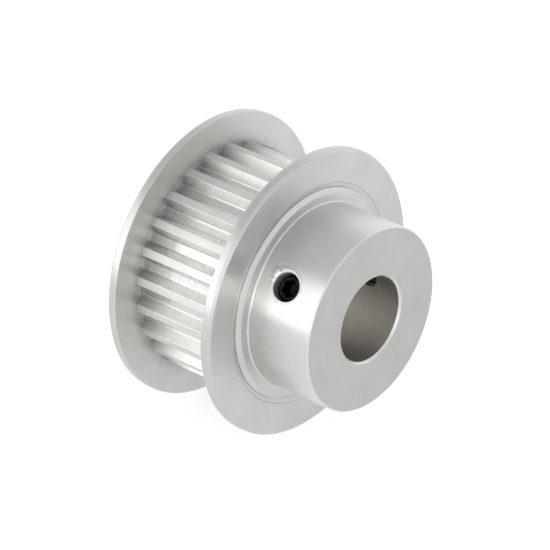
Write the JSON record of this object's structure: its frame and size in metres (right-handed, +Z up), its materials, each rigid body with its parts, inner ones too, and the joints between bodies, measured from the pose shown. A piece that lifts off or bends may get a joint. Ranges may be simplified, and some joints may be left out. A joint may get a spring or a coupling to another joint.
{
  "type": "timing belt pulley",
  "caption": "Toothed belt pulley in bare aluminium with a flange ring at each side of the teeth, a plain hub, a through bore and black set screws in the hub.",
  "frame": {"origin": "on the shaft axis, halfway between the two flanges, on the centre line of the belt", "axes": "Y along the shaft axis with the hub towards -Y; +Z up and +X to the right as seen from the hub end"},
  "size_m": [0.0472, 0.0341, 0.0472],
  "materials": {
    "turned_aluminium": "bare, finely turned, satin to bright",
    "flange_aluminium": "bare, finely turned, satin",
    "black_steel": "black oxide"
  },
  "bodies": {
    "pulley": {"pulley_body": "turned_aluminium", "hub_side_flange": "flange_aluminium", "far_side_flange": "flange_aluminium"},
    "screw_1": {"set_screw_1": "black_steel"},
    "screw_2": {"set_screw_2": "black_steel"}
  },
  "joints": [
    {"name": "set_screw_1_travel", "type": "slide", "parent": "pulley", "child": "screw_1", "axis": [-0.8192, 0, 0.5736], "range_m": [-0.00135, 0.006]},
    {"name": "set_screw_2_travel", "type": "slide", "parent": "pulley", "child": "screw_2", "axis": [0.9063, 0, 0.4226], "range_m": [-0.00135, 0.006]}
  ]
}
